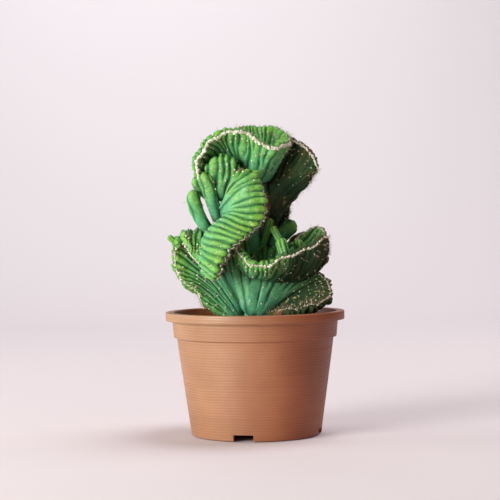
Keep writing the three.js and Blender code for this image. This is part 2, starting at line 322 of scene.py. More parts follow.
def pot_cutters():
    """Notch blocks round the foot and drills through the floor, in one bmesh."""
    bm = bmesh.new()
    for i in range(NOTCHES):
        turn = Matrix.Rotation(NOTCH_TURN + i * math.tau / NOTCHES, 4, "Z")
        size = Matrix.Diagonal((NOTCH_W * MM, 4 * FOOT_W * MM, 2 * NOTCH_H * MM, 1))
        place = turn @ Matrix.Translation((0, -FOOT_R * MM, 0)) @ size
        bmesh.ops.create_cube(bm, size=1, matrix=place)
    for i in range(DRAINS + 1):
        turn = i * math.tau / DRAINS
        away = DRAIN_RING_R * MM if i < DRAINS else 0
        middle = (away * math.cos(turn), away * math.sin(turn), (FLOOR_Z + WALL / 2) * MM)
        bmesh.ops.create_cone(
            bm,
            cap_ends=True,
            segments=24,
            radius1=DRAIN_R * MM,
            radius2=DRAIN_R * MM,
            depth=4 * WALL * MM,
            matrix=Matrix.Translation(middle),
        )
    return cutter("pot_cutters", bm)


# %% Make the pot
def pot_profile():
    """Half a section through the pot, from the floor's underside round to its top, in mm."""
    return [
        (0, FLOOR_Z),
        (FOOT_R - FOOT_W - 1, FLOOR_Z),
        (FOOT_R - FOOT_W, 0),
        (FOOT_R - 0.3, 0),
        (FOOT_R + 0.1, 0.9),
        (BODY_R - 0.9, COLLAR_Z - STEP_H - 8),
        (BODY_R, COLLAR_Z - STEP_H),
        (COLLAR_FOOT_R, COLLAR_Z - 0.6),
        (COLLAR_R, POT_H - WALL),
        (RIM_R - WALL, POT_H - WALL),
        (RIM_R - WALL, POT_H - LIP_H),
        (RIM_R, POT_H - LIP_H),
        (RIM_R, POT_H),
        (COLLAR_R - WALL, POT_H),
        (COLLAR_FOOT_R - WALL, COLLAR_Z + 0.8),
        (BODY_R - WALL, COLLAR_Z - STEP_H + 0.4),
        (FOOT_R - WALL, FLOOR_Z + WALL),
        (0, FLOOR_Z + WALL),
    ]


def make_pot(material):
    bm = spun(pot_profile(), POT_STEPS, POT_ROUNDING)
    pot = finish_piece(bm, "moulded_pot", material, replaces="pot")
    tools = pot_cutters()
    cut = pot.modifiers.new("notches", "BOOLEAN")
    cut.operation, cut.solver, cut.object = "DIFFERENCE", "MANIFOLD", tools
    bake_modifiers(pot)
    bpy.data.objects.remove(tools)
    sharp = bmesh.new()
    sharp.from_mesh(pot.data)
    for edge in sharp.edges:
        edge.smooth = edge.calc_face_angle(0) < SHARPEST
    sharp.to_mesh(pot.data)
    sharp.free()
    return pot


# %% [markdown]
# The plastic is terracotta-brown polypropylene straight from the mould. Its tool was turned on
# a lathe, and the fine rings of that turning show as thin level lines all the way up the wall.
# Two patterns make them: a wave with a ring every 2.1 mm, and noise that is stretched a long
# way round and squeezed in height. Together they tilt the surface, darken the colour slightly
# between the rings as painted shade and make the raised lines a little shinier.

# %% Rings left by the lathe
def turned_rings(tree, place):
    """Height of the mould's fine rings, from 0 to 1."""
    # 90 mm round the pot by 1.2 mm up it.
    stretched = node(tree, "Mapping", {"Vector": place, "Scale": (11, 11, 820)})
    lines = node(
        tree,
        "TexNoise",
        {"Vector": stretched.outputs[0], "Scale": 1.0, "Detail": 4.0, "Roughness": 0.65},
    )
    # The tool's feed: a ring every 2.1 mm, not quite even.
    feed = node(
        tree,
        "TexWave",
        {"Vector": place, "Scale": 150.0, "Distortion": 2.5, "Detail": 2.0, "Detail Scale": 0.3},
        bands_direction="Z",
    )
    # For plain numbers a Mix node has its sockets 2 and 3 and its output 0.
    both = {0: 0.3, 2: lines.outputs["Fac"], 3: feed.outputs["Fac"]}
    return node(tree, "Mix", both, data_type="FLOAT").outputs[0]


# %% The plastic's colour
def painted_window_light_tone(tree, place):
    """The plastic's colour with painted light: lighter and paler on the side towards the window
    light, darker and more saturated on the side in shade.
    """
    window_side = node(
        tree, "VectorMath", {0: place, 1: (-0.78, -0.62, 0.0)}, operation="DOT_PRODUCT"
    )
    painted_light_share = remap(tree, window_side.outputs["Value"], (-0.05, 0.065))
    return ramp(tree, painted_light_share, (0.0, "#90421c"), (0.5, "#a9603a"), (1.0, "#ad8564"))


def plastic_colour(tree, place, rings):
    """The tone with painted window light, darker between the rings as painted shade, and a little
    dusty.
    """
    # Painted shade: the plastic is darker between the raised rings.
    ring_groove_shade = ramp(tree, rings, (0.28, "#ddd8d3"), (0.5, "#efebe8"), (0.66, "#ffffff"))
    # 200 mm by 11 mm: broader bands, where the plastic cooled a little differently.
    wide = node(tree, "Mapping", {"Vector": place, "Scale": (5, 5, 90)})
    bands = noise(tree, wide.outputs[0], 1.0, 2.0)
    banded = blend(tree, bands, ring_groove_shade, linear("#faf8f6"))
    lined = blend(tree, 1.0, painted_window_light_tone(tree, place), banded, "MULTIPLY")
    # 40 mm clouds: dust and handling.
    clouds = noise(tree, place, 25.0, 4.0)
    dusty = ramp(tree, clouds, (0.35, "#e9e4e0"), (0.65, "#ffffff"))
    return blend(tree, 1.0, lined, dusty, "MULTIPLY")


# %% The moulded plastic
def moulded_plastic():
    material, tree, shader = new_material("brushed_polypropylene")
    place = node(tree, "TexCoord").outputs["Object"]
    rings = turned_rings(tree, place)
    tree.links.new(plastic_colour(tree, place, rings), shader.inputs["Base Color"])
    gloss = remap(tree, rings, (0.3, 0.7), (0.56, 0.40))
    tree.links.new(gloss, shader.inputs["Roughness"])
    bump = node(tree, "Bump", {"Height": rings, "Strength": 0.7, "Distance": 0.0003})
    tree.links.new(bump.outputs[0], shader.inputs["Normal"])
    shader.inputs["IOR"].default_value = 1.5
    return material


pot = make_pot(moulded_plastic())

# %% [markdown]
# ## The potting mix
#
# Cactus mix is bark crumb, peat and grit with a little white perlite. Its top is an uneven disc
# that dips and rises by a millimetre or two, and the loose crumbs on it are separate stones: one
# small faceted ball, squashed and turned differently each time. They are copied by doubling,
# which stays quick for hundreds of copies.

# %% Copy one small shape to many places
def scatter(template, name, places, material, attributes=None):
    """Copies the template bmesh to each 4x4 place by doubling it, and trims what is left over."""
    # A fresh bmesh hands out points in order, so copy n's points follow copy n - 1's.
    draft = bpy.data.meshes.new(name + "_template")
    template.to_mesh(draft)
    template.clear()
    template.from_mesh(draft)
    bpy.data.meshes.remove(draft)
    count = len(template.verts)
    shape = np.array([v.co for v in template.verts])
    while len(template.verts) < count * len(places):
        bmesh.ops.duplicate(template, geom=[*template.verts, *template.edges, *template.faces])
    spare = list(template.verts)[count * len(places) :]
    if spare:
        bmesh.ops.delete(template, geom=spare, context="VERTS")
    places = np.array([np.array(p) for p in places])
    moved = np.einsum("pij,vj->pvi", places[:, :3, :3], shape) + places[:, None, :3, 3]
    piece = finish_piece(template, name, material, attributes=attributes)
    piece.data.vertices.foreach_set("co", moved.astype(np.float32).ravel())
    piece.data.update()
    return piece


def crumb_places(count, seed, spread, height, size):
    """Random places on the mix, each with its own size, squash and turn."""
    draw = np.random.default_rng(seed)
    places = []
    while len(places) < count:
        x, y = draw.uniform(-spread, spread, 2)
        if math.hypot(x, y) > spread:
            continue
        turn = Matrix.Rotation(draw.uniform(0, math.tau), 4, Vector(draw.normal(size=3)))
        wide = size * draw.lognormal(0, 0.35)
        squash = Matrix.Diagonal((wide * draw.uniform(0.7, 1.5), wide, wide * 0.7, 1))
        spot = Matrix.Translation((x * MM, y * MM, (height(x, y) + 0.25 * wide) * MM))
        places.append(spot @ turn @ squash @ Matrix.Scale(MM, 4))
    return places


# %% Lay the bed
SOIL_R, SOIL_Z, SOIL_CROWN = 62.3, 85, 1.5
SOIL_RINGS = 6


def soil_height(x, y):
    """Height of the bed in mm: a low crown with dips and rises."""
    crown = SOIL_CROWN * (1 - (x * x + y * y) / SOIL_R**2)
    waves = math.sin(x / 7 + 1) * math.cos(y / 9) + 0.6 * math.sin(x / 3.1 + y / 4.3)
    return SOIL_Z + crown + 0.7 * waves - 0.6


def make_soil(material):
    bm = bmesh.new()
    bmesh.ops.create_circle(bm, cap_ends=True, radius=SOIL_R * MM, segments=96)
    for _ in range(SOIL_RINGS):
        ring = [f for f in bm.faces if len(f.verts) > 4]
        bmesh.ops.inset_region(bm, faces=ring, thickness=(SOIL_R * 0.14) * MM, use_even_offset=True)
    bmesh.ops.triangulate(bm, faces=[f for f in bm.faces if len(f.verts) > 4])
    bmesh.ops.subdivide_edges(bm, edges=bm.edges, cuts=1, use_grid_fill=True)
    for v in bm.verts:
        v.co.z = soil_height(v.co.x / MM, v.co.y / MM) * MM
    rim = [e for e in bm.edges if e.is_boundary]
    skirt = bmesh.ops.extrude_edge_only(bm, edges=rim)["geom"]
    low = [v for v in skirt if isinstance(v, bmesh.types.BMVert)]
    bmesh.ops.scale(bm, verts=low, vec=(0.8, 0.8, 0))
    bmesh.ops.translate(bm, verts=low, vec=(0, 0, 8 * MM))
    bmesh.ops.holes_fill(bm, edges=[e for e in bm.edges if e.is_boundary])
    bmesh.ops.recalc_face_normals(bm, faces=bm.faces)
    return finish_piece(bm, "mix_bed", material, replaces="potting_mix")


# %% A crumb and what it is made of
def stony(bm, seed, rough):
    """A faceted ball with its points pushed in and out."""
    draw = np.random.default_rng(seed)
    bmesh.ops.create_icosphere(bm, subdivisions=2, radius=0.5)
    for v in bm.verts:
        v.co *= 1 + rough * draw.uniform(-1, 1)
    return bm


def bark_material():
    """Composted bark and peat: dark, matt, each crumb a little different."""
    material, tree, shader = new_material("composted_bark")
    place = node(tree, "TexCoord").outputs["Object"]
    # 5 mm patches: crumbs of different age.
    patches = noise(tree, place, 200.0, 5.0)
    colour = ramp(tree, patches, (0.3, "#1d130d"), (0.5, "#3a281c"), (0.7, "#5e4632"))
    tree.links.new(colour, shader.inputs["Base Color"])
    shader.inputs["Roughness"].default_value = 0.95
    # 0.7 mm grit.
    grit = noise(tree, place, 1400.0, 2.0)
    bump = node(tree, "Bump", {"Height": grit, "Strength": 0.8, "Distance": 0.0006})
    tree.links.new(bump.outputs[0], shader.inputs["Normal"])
    return material


def perlite_material():
    """Perlite: volcanic glass puffed up by heat, chalky white and full of pits."""
    material, tree, shader = new_material("expanded_perlite")
    place = node(tree, "TexCoord").outputs["Object"]
    pits = noise(tree, place, 900.0, 3.0)
    colour = ramp(tree, pits, (0.35, "#a99c8b"), (0.55, "#ddd6c9"))
    tree.links.new(colour, shader.inputs["Base Color"])
    shader.inputs["Roughness"].default_value = 0.9
    return material


# %% Fill the pot
BARK_CRUMBS, BARK_SIZE = 520, 2.6
PERLITE_GRAINS, PERLITE_SIZE = 70, 1.9
bark = bark_material()
make_soil(bark)
scatter(
    stony(bmesh.new(), 3, 0.22),
    "bark_crumbs",
    crumb_places(BARK_CRUMBS, 5, 60.5, soil_height, BARK_SIZE),
    bark,
)
scatter(
    stony(bmesh.new(), 4, 0.12),
    "perlite",
    crumb_places(PERLITE_GRAINS, 6, 59, soil_height, PERLITE_SIZE),
    perlite_material(),
)

# %% [markdown]
# ## The plant: how a crest grows
#
# An ordinary columnar cactus grows from one point. On a crested one the growing point has become
# a line, so the stem spreads into a fan, and because the line gets longer faster than the fan
# gets wider it folds into lobes. The ribs run from the old wood up to that line, and fork as the
# fan widens, so their width hardly changes.
#
# Each lobe is described by a few guide ribs: the path of one rib by its root, its middle and its
# tip. A smooth curve runs through all the roots, another through the middles and another through
# the tips, and everything else is worked out between them. The figures are millimetres.

# %% The guide ribs of every lobe
LOBES = {
    "base_fan": [
        [[-11, -4, 78], [-25, -6, 90], [-40, -7, 99]],
        [[-11, -4, 79], [-29, -5, 98], [-46, -9, 111]],
        [[-10, -4, 80], [-34, -5, 107], [-57, -11, 120]],
        [[-9, -3, 82], [-40, -4, 118], [-63, -10, 131]],
        [[-8, -3, 84], [-45, -2, 131], [-63, -9, 143]],
        [[-7, -3, 86], [-45, 1, 145], [-55, -13, 151]],
        [[-6, -3, 88], [-40, 2, 153], [-47, -21, 140]],
        [[-6, -3, 89], [-33, 2, 151], [-38, -26, 129]],
        [[-5, -3, 90], [-26, 1, 144], [-30, -29, 122]],
        [[-4, -3, 90], [-16, 0, 129], [-22, -4, 146]],
        [[-3, -3, 90], [-3, -3, 124], [-4, 4, 156]],
        [[-2, -3, 90], [11, -2, 123], [14, 4, 148]],
        [[-1, -3, 89], [22, -1, 118], [33, -2, 136]],
        [[0, -3, 88], [31, 0, 114], [50, -4, 126]],
        [[1, -3, 86], [35, 0, 109], [59, -8, 117]],
        [[2, -4, 84], [33, -4, 102], [59, -18, 107]],
        [[2, -4, 82], [27, -10, 96], [51, -28, 101]],
        [[1, -5, 80], [17, -15, 92], [36, -34, 98]],
        [[0, -6, 79], [8, -16, 90], [18, -30, 96]],
    ],
    "front_cape": [
        [[-24, -2, 124], [-37, -15, 126], [-33, -27, 121]],
        [[-25, 3, 130], [-39, -17, 134], [-28, -33, 125]],
        [[-25, 3, 140], [-39, -19, 144], [-24, -36, 137]],
        [[-24, 2, 150], [-35, -22, 155], [-16, -40, 148]],
        [[-22, 1, 160], [-26, -29, 163], [-4, -42, 157]],
        [[-22, -1, 166], [-15, -33, 170], [6, -41, 167]],
        [[-24, -3, 170], [-10, -35, 179], [9, -39, 180]],
        [[-25, -4, 173], [-11, -34, 187], [6, -36, 193]],
        [[-26, -4, 175], [-15, -31, 192], [0, -31, 203]],
        [[-27, -3, 176], [-20, -27, 191], [-11, -27, 206]],
    ],
    "top_hood": [
        [[-14, 5, 180], [-28, 1, 183], [-39, -4, 189]],
        [[-14, 4, 188], [-31, -2, 193], [-43, -12, 198]],
        [[-14, 3, 194], [-33, -5, 204], [-45, -20, 208]],
        [[-12, 3, 198], [-31, -6, 214], [-43, -24, 217]],
        [[-11, 2, 200], [-26, -7, 220], [-36, -25, 227]],
        [[-9, 1, 200], [-20, -8, 223], [-26, -25, 234]],
        [[-7, 0, 200], [-13, -10, 222], [-17, -25, 237]],
        [[-5, 0, 200], [-6, -13, 219], [-8, -25, 237]],
        [[-3, 0, 200], [0, -15, 215], [1, -26, 232]],
        [[-1, 0, 199], [5, -17, 212], [9, -27, 226]],
        [[2, 1, 198], [10, -15, 211], [18, -26, 224]],
        [[5, 2, 198], [15, -8, 212], [25, -16, 227]],
        [[7, 5, 198], [18, 0, 214], [27, -4, 232]],
        [[8, 8, 198], [17, 8, 217], [23, 9, 238]],
        [[6, 11, 199], [12, 14, 220], [14, 17, 241]],
        [[3, 13, 200], [4, 17, 221], [2, 19, 242]],
        [[-1, 13, 201], [-8, 16, 220], [-13, 13, 241]],
    ],
    "right_cone": [
        [[6, 12, 180], [14, 14, 208], [24, 14, 231]],
        [[7, 10, 177], [20, 8, 205], [31, 4, 231]],
        [[8, 8, 174], [24, 5, 201], [38, -5, 227]],
        [[9, 7, 171], [27, 4, 197], [45, -11, 220]],
        [[10, 6, 168], [29, 4, 193], [50, -11, 213]],
        [[11, 6, 165], [28, 5, 187], [49, -2, 204]],
        [[11, 7, 161], [24, 8, 180], [38, 7, 194]],
        [[11, 9, 157], [20, 12, 172], [30, 12, 184]],
        [[10, 10, 152], [18, 13, 163], [28, 15, 172]],
        [[10, 10, 146], [17, 12, 154], [27, 13, 158]],
    ],
    "dish": [
        [[-6, 3, 127], [-12, -8, 138], [-12, -18, 148]],
        [[-3, 1, 126], [-6, -18, 132], [-8, -31, 140]],
        [[0, 0, 125], [0, -23, 128], [0, -38, 135]],
        [[3, 0, 125], [7, -25, 127], [8, -41, 134]],
        [[6, 0, 124], [14, -24, 127], [17, -41, 138]],
        [[9, 0, 123], [22, -21, 127], [27, -38, 142]],
        [[11, 0, 122], [30, -17, 127], [37, -34, 145]],
        [[13, 1, 121], [38, -13, 128], [46, -29, 149]],
        [[14, 2, 121], [42, -10, 128], [52, -23, 155]],
        [[15, 3, 120], [44, -6, 127], [57, -16, 152]],
        [[15, 4, 120], [43, -3, 125], [58, -12, 143]],
        [[15, 5, 119], [40, 0, 122], [54, -8, 132]],
    ],
    "dish_back": [
        [[12, 7, 138], [22, 8, 146], [32, 4, 153]],
        [[13, 7, 134], [28, 7, 145], [40, 4, 158]],
        [[14, 7, 130], [33, 6, 142], [48, 3, 161]],
        [[14, 6, 126], [37, 6, 138], [55, 0, 159]],
        [[14, 5, 122], [40, 5, 132], [58, -1, 150]],
        [[14, 4, 119], [39, 4, 126], [55, 0, 139]],
    ],
    "inner_fan": [
        [[-29, -6, 182], [-33, -11, 195], [-38, -16, 207]],
        [[-28, -7, 182], [-31, -14, 198], [-34, -20, 213]],
        [[-26, -8, 182], [-26, -16, 200], [-26, -22, 217]],
        [[-24, -8, 182], [-21, -16, 200], [-19, -22, 217]],
        [[-22, -8, 182], [-17, -15, 198], [-13, -20, 213]],
        [[-20, -6, 183], [-14, -12, 195], [-9, -16, 206]],
    ],
    "left_finger": [
        [[-29, -3, 164], [-37, -10, 185], [-43, -14, 200]],
        [[-26, -6, 164], [-33, -15, 187], [-38, -19, 205]],
        [[-23, -5, 164], [-28, -13, 186], [-33, -17, 201]],
    ],
    "left_paddle": [
        [[-31, 0, 152], [-46, -7, 170], [-51, -9, 187]],
        [[-30, -3, 153], [-43, -12, 172], [-47, -13, 191]],
        [[-29, 0, 155], [-39, -8, 173], [-42, -8, 189]],
    ],
    "side_paddle": [
        [[-30, 3, 180], [-42, -2, 188], [-48, -4, 198]],
        [[-29, 1, 183], [-39, -6, 192], [-46, -9, 202]],
        [[-28, 3, 186], [-36, -4, 195], [-41, -8, 204]],
    ],
    "waist_paddle": [
        [[12, 4, 149], [20, 1, 160], [26, -1, 168]],
        [[13, 2, 146], [24, -3, 157], [32, -4, 166]],
        [[14, 4, 143], [26, 0, 152], [35, -2, 159]],
    ],
    "rear_fan": [
        [[-12, 4, 92], [-30, 15, 98], [-46, 20, 106]],
        [[-11, 5, 97], [-29, 22, 112], [-42, 32, 122]],
        [[-8, 6, 101], [-18, 28, 119], [-28, 42, 136]],
        [[-4, 7, 103], [-6, 25, 124], [-11, 33, 145]],
        [[1, 7, 103], [7, 24, 123], [7, 36, 144]],
        [[5, 6, 101], [18, 28, 116], [25, 44, 132]],
        [[7, 5, 97], [29, 21, 106], [42, 34, 117]],
        [[8, 3, 92], [30, 12, 97], [48, 18, 103]],
    ],
    "rear_crest": [
        [[-14, 8, 148], [-25, 18, 160], [-31, 22, 175]],
        [[-11, 9, 151], [-20, 26, 167], [-26, 36, 188]],
        [[-6, 10, 153], [-9, 23, 174], [-13, 31, 198]],
        [[0, 10, 153], [4, 26, 172], [4, 41, 192]],
        [[6, 9, 151], [14, 25, 162], [20, 38, 176]],
        [[9, 8, 147], [19, 18, 152], [27, 27, 159]],
    ],
}

# How each lobe's ribs look: half the sheet's thickness at root and tip, rib spacing on the
# crest, relief, the share of the rib that stays smooth at the hub, how much the crest waves,
# how young and yellow the skin is (below 0: old and olive, and darker as painted shade where
# the lobe faces away from the light), how corky its edge is, and how thick its wool is.
LOOKS = {
    # half, pitch, relief, smooth, wave, youth and painted shade from one end to the other, cork,
    # wool
    "base_fan": ((5.0, 3.2), 5.0, 1.00, 0.00, 0.9, (0.30, -1.45), 0.15, 0.85),
    "front_cape": ((4.5, 3.0), 5.8, 1.15, 0.30, 0.8, (-0.15, 0.85), 0.10, 0.95),
    "top_hood": ((5.0, 3.0), 5.4, 1.15, 0.12, 1.0, (0.20, 0.30), 0.10, 1.40),
    "right_cone": ((5.0, 3.0), 5.2, 0.80, 0.20, 0.9, (-1.1, -1.3), 0.50, 0.90),
    "dish": ((4.5, 3.0), 4.0, 0.95, 0.10, 1.1, (0.25, -1.35), 0.25, 1.00),
    "dish_back": ((4.5, 2.8), 4.4, 0.95, 0.10, 1.0, (0.00, -0.90), 0.60, 0.80),
    "inner_fan": ((4.0, 3.4), 6.5, 1.15, 0.05, 0.2, (0.25, 0.25), 0.00, 0.00),
    "left_finger": ((3.8, 3.0), 9.0, 0.60, 0.20, 0.0, (-0.12, -0.12), 0.00, 0.00),
    "left_paddle": ((4.0, 3.0), 8.0, 0.35, 0.30, 0.2, (0.05, 0.05), 0.00, 0.00),
    "side_paddle": ((3.6, 3.0), 7.0, 0.35, 0.20, 0.2, (0.05, 0.05), 0.00, 0.00),
    "waist_paddle": ((4.4, 3.6), 7.0, 0.40, 0.10, 0.2, (-0.25, -0.25), 0.00, 0.00),
    "rear_fan": ((5.0, 3.0), 4.6, 1.00, 0.05, 1.0, (0.15, 0.15), 0.20, 0.90),
    "rear_crest": ((5.0, 3.0), 4.6, 1.00, 0.15, 1.0, (0.25, 0.25), 0.20, 0.90),
}
print("guide ribs:", {name: len(guides) for name, guides in LOBES.items()})

# %% [markdown]
# The curve through the guides is a Catmull-Rom spline, which passes through every point it is
# given and needs no handles. Across it, a rib's path is the parabola through its root, middle
# and tip.

# %% Curves through the guides
def catmull_rom(points, share):
    """Places on a smooth curve through the points; share runs from 0 to 1."""
    points = np.asarray(points, dtype=float)
    padded = np.vstack([2 * points[0] - points[1], points, 2 * points[-1] - points[-2]])
    place = np.clip(share, 0, 1) * (len(points) - 1)
    first = np.minimum(place.astype(int), len(points) - 2)
    t = (place - first)[..., None]
    a, b, c, d = (padded[first + k] for k in range(4))
    bend = (2 * a - 5 * b + 4 * c - d) * t**2 + (3 * b - a - 3 * c + d) * t**3
    return 0.5 * (2 * b + (c - a) * t + bend)


def unit(vectors):
    return vectors / np.maximum(np.linalg.norm(vectors, axis=-1, keepdims=True), 1e-9)


def smoothstep(low, high, x):
    t = np.clip((x - low) / (high - low), 0, 1)
    return t * t * (3 - 2 * t)


def rounded(share):
    """Height of a quarter circle: 0 at share 0, 1 from share 1 on."""
    return np.sqrt(np.clip(1 - (1 - np.minimum(share, 1)) ** 2, 0, 1))


# %% [markdown]
# A lobe starts as a sheet without thickness. Its long way, `s`, runs along the crest from 0 to
# 1, and its short way, `v`, runs from the root at 0 up to the crest at 1. Each lobe keeps its
# guides, its looks and a few random numbers, so that every question about it has one answer.

# %% A lobe and its sheet
DENSE = np.linspace(0, 1, 1601)


class Lobe:
    def __init__(self, name, seed):
        self.name = name
        guides = np.array(LOBES[name], dtype=float)
        self.root, self.middle, self.tip = guides[:, 0], guides[:, 1], guides[:, 2]
        half, pitch, self.relief, self.smooth, self.wave, *others = LOOKS[name]
        self.young, self.cork, self.wool = others
        self.half_root, self.half_edge = half
        # The wool line runs beside the crest: this is how far round the edge, in front or behind.
        self.seam = 0.3 if name == "front_cape" else 0.5
        # The wide base fan has broader ribs at its hub and is calmer half way up.
        self.broad, self.calm = (12.0, 0.35) if name == "base_fan" else (9.0, 0.0)
        # Where along the crest the first end's age and painted shade start to give way to the other
        # end's.
        self.turns = {"dish": (0.1, 0.7), "front_cape": (0.0, 0.45)}.get(name, (0.45, 1.0))
        # On a young edge the ribs run over it; on an old one wool parts them.
        self.parted = self.wool > 0 and name != "front_cape"
        crest = catmull_rom(self.tip, DENSE)
        steps = np.linalg.norm(np.diff(crest, axis=0), axis=1)
        self.run = np.concatenate([[0], np.cumsum(steps)])
        self.length = self.run[-1]
        self.ribs = max(3, round(self.length / pitch))
        draw = np.random.default_rng(seed)
        self.phases = draw.uniform(0, math.tau, 12)
        marks = 2 * self.ribs + 3
        self.valleys = np.arange(marks) + draw.normal(0, 0.15, marks)
        self.swell = draw.uniform(0.7, 1.25, marks + 1)

    def sheet(self, s, v):
        """The middle of the sheet, and its direction up the rib."""
        u = np.interp(s * self.length, self.run, DENSE)
        r, m, t = (catmull_rom(track, u) for track in (self.root, self.middle, self.tip))
        v = v[..., None]
        place = r * (1 - v) * (1 - 2 * v) + m * 4 * v * (1 - v) + t * v * (2 * v - 1)
        up = r * (4 * v - 3) + m * (4 - 8 * v) + t * (4 * v - 1)
        return place, up

    def frame(self, s, v):
        """Place, up, outward normal and how wide the fan is here beside its crest."""
        step = 0.6 / self.length
        low, high = np.clip(s - step, 0, 1), np.clip(s + step, 0, 1)
        place, up = self.sheet(s, v)
        across = (self.sheet(high, v)[0] - self.sheet(low, v)[0]) / (high - low)[..., None]
        spread = np.linalg.norm(across, axis=-1) / self.length
        return place, up, unit(np.cross(across, up)), spread

    def edge(self, s):
        """The length of the rib at s, and the share of it where the round edge starts."""
        rib_length = np.linalg.norm(self.sheet(s, np.ones_like(s))[1], axis=-1)
        return rib_length, 1 - np.minimum(self.half_edge / np.maximum(rib_length, 1), 0.4)


# %% [markdown]
# The ribs are relief on the sheet: parabola-shaped ridges with a sharp valley between them, as
# flesh makes where it swells on both sides of a crease. Where the sheet narrows towards the
# hub, two ribs join into one, which is the fork seen the other way round. Valleys are numbered
# along the crest, and none is exactly where an even spacing would put it.

# %% Ribs that fork
def rib_count(lobe, side):
    """Ribs on a face: behind an old edge they are finer and set off by half a rib."""
    return lobe.ribs * np.where((np.asarray(side) < 0) & lobe.parted, 1.5, 1.0)


def share_at(lobe, mark, side):
    """The share of the crest's length at a valley's number on one face."""
    turn = np.interp(mark, np.arange(len(lobe.valleys)), lobe.valleys)
    return (turn - (side < 0) * 0.5 * lobe.parted) / rib_count(lobe, side)


def rib_forks(lobe, s, v, side):
    """Which rib each place is on, the ribs' spacing there and how often they have joined."""
    turn = s * rib_count(lobe, side) + np.where(side < 0, 0.5 * lobe.parted, 0.0)
    turn = np.interp(turn, lobe.valleys, np.arange(len(lobe.valleys)))
    turn = turn + 0.22 * np.sin(8 * v + 0.9 * turn + lobe.phases[6]) * smoothstep(0.1, 0.4, v)
    spread = lobe.frame(s, v)[3]
    width = lobe.length / rib_count(lobe, side) * np.maximum(spread, 0.01)
    wanted = lobe.broad + (4.5 - lobe.broad) * smoothstep(0.0, 0.75, v)
    sway = 0.35 * np.sin(turn * 1.3 + lobe.phases[0]) + 0.25 * np.sin(turn * 0.47)
    return turn, width, np.clip(np.log2(wanted / width) + sway, 0, 5)


def arch(turn, period):
    """Height on a rib that repeats each period: 0 in the valley and 1 on the ridge."""
    x = turn / period
    return 1 - np.abs(2 * (x - np.floor(x)) - 1) ** 2.3


def rib_relief(lobe, s, v, side):
    """Rib relief in mm and how high on its rib each place is, from 0 to 1."""
    turn, width, order = rib_forks(lobe, s, v, side)
    level = np.minimum(np.floor(order), 4)
    mix = smoothstep(0.25, 0.75, order - level)
    few, many = 2 ** (level + 1), 2**level
    ridge = (1 - mix) * arch(turn, many) + mix * arch(turn, few)
    rib_width = width * ((1 - mix) * many + mix * few)
    swell = lobe.swell[np.clip(turn, 0, len(lobe.valleys)).astype(int)]
    swell = 1 + (swell - 1) * ridge
    depth = lobe.relief * 0.34 * np.minimum(rib_width, 6.5) * swell
    depth = depth * (0.12 + 0.88 * smoothstep(lobe.smooth, lobe.smooth + 0.4, v))
    middle = smoothstep(0.1, 0.35, v) * (1 - smoothstep(0.6, 0.9, v))
    return depth * (1 - lobe.calm * middle) * (ridge - 0.62), ridge


# %% [markdown]
# The skin is a flat grid folded over the sheet. On it the short way is `w`, which runs from -1
# at the back root, over the crest at 0, to 1 at the front root. Knobs, waves and lumps keep it
# from looking drawn: ribs swell into rows of beads, the crest sways, and the flesh is uneven.

# %% Knobs and waves
CAP = 0.14  # share of w that goes over the round edge
CROWDING = 1.25  # above 1, the grid's rows lie closer together near the crest
BEAD_GAP, KNOB_GAP = 7.5, 5.5  # mm between the swellings along a rib, and on the knobbly cup


def bead_relief(lobe, s, v, side, run, ridge):
    """Swellings along each rib in mm; the back of the base fan is knobbly."""
    knobbly = (side < 0) & (lobe.name == "base_fan")
    gap = np.where(knobbly, KNOB_GAP, BEAD_GAP)
    beads = np.cos(run * math.tau / gap + 2 * np.sin(s * lobe.ribs * 1.7))
    return np.where(knobbly, 1.4, 0.38) * beads * ridge * smoothstep(0.3, 0.8, v)


def crest_waves(lobe, along, v):
    """How far the sheet leans out of its plane and stretches up, in mm."""
    sway = np.sin(along * math.tau / 17 + lobe.phases[1]) + 0.6 * np.sin(
        along * math.tau / 29 + lobe.phases[2]
    )
    lean = lobe.wave * 0.8 * v**2 * sway
    stretch = lobe.wave * 0.5 * v**2 * np.sin(along * math.tau / 23 + lobe.phases[3])
    return lean, stretch


def lumps(lobe, place):
    """Slow dents and swellings of the flesh in mm."""
    return 0.3 * np.sin(place @ np.array([0.31, 0.17, 0.23]) + lobe.phases[4]) * np.sin(
        place @ np.array([-0.13, 0.37, 0.29]) + lobe.phases[5]
    )


# %% The skin over the sheet
def skin_numbers(lobe, s, share, ridge, on_cap):
    """What the skin's material reads: height on the rib, reach from the hub, youth with painted
    shade, and cork.
    """
    end_near = (1 - s if lobe.name == "front_cape" else np.minimum(s, 1 - s)) * lobe.length
    old_end = 0.7 * (lobe.wool > 0) * (1 - smoothstep(2, 9, end_near))
    return {
        "rib": np.clip(ridge * (1 - 0.3 * on_cap), 0, 1),
        "reach": share * 0.9 + 0.1 * on_cap,
        "young": lobe.young[0] + (lobe.young[1] - lobe.young[0]) * smoothstep(*lobe.turns, s),
        "cork": lobe.cork * on_cap + old_end * smoothstep(0.75, 1, share),
    }


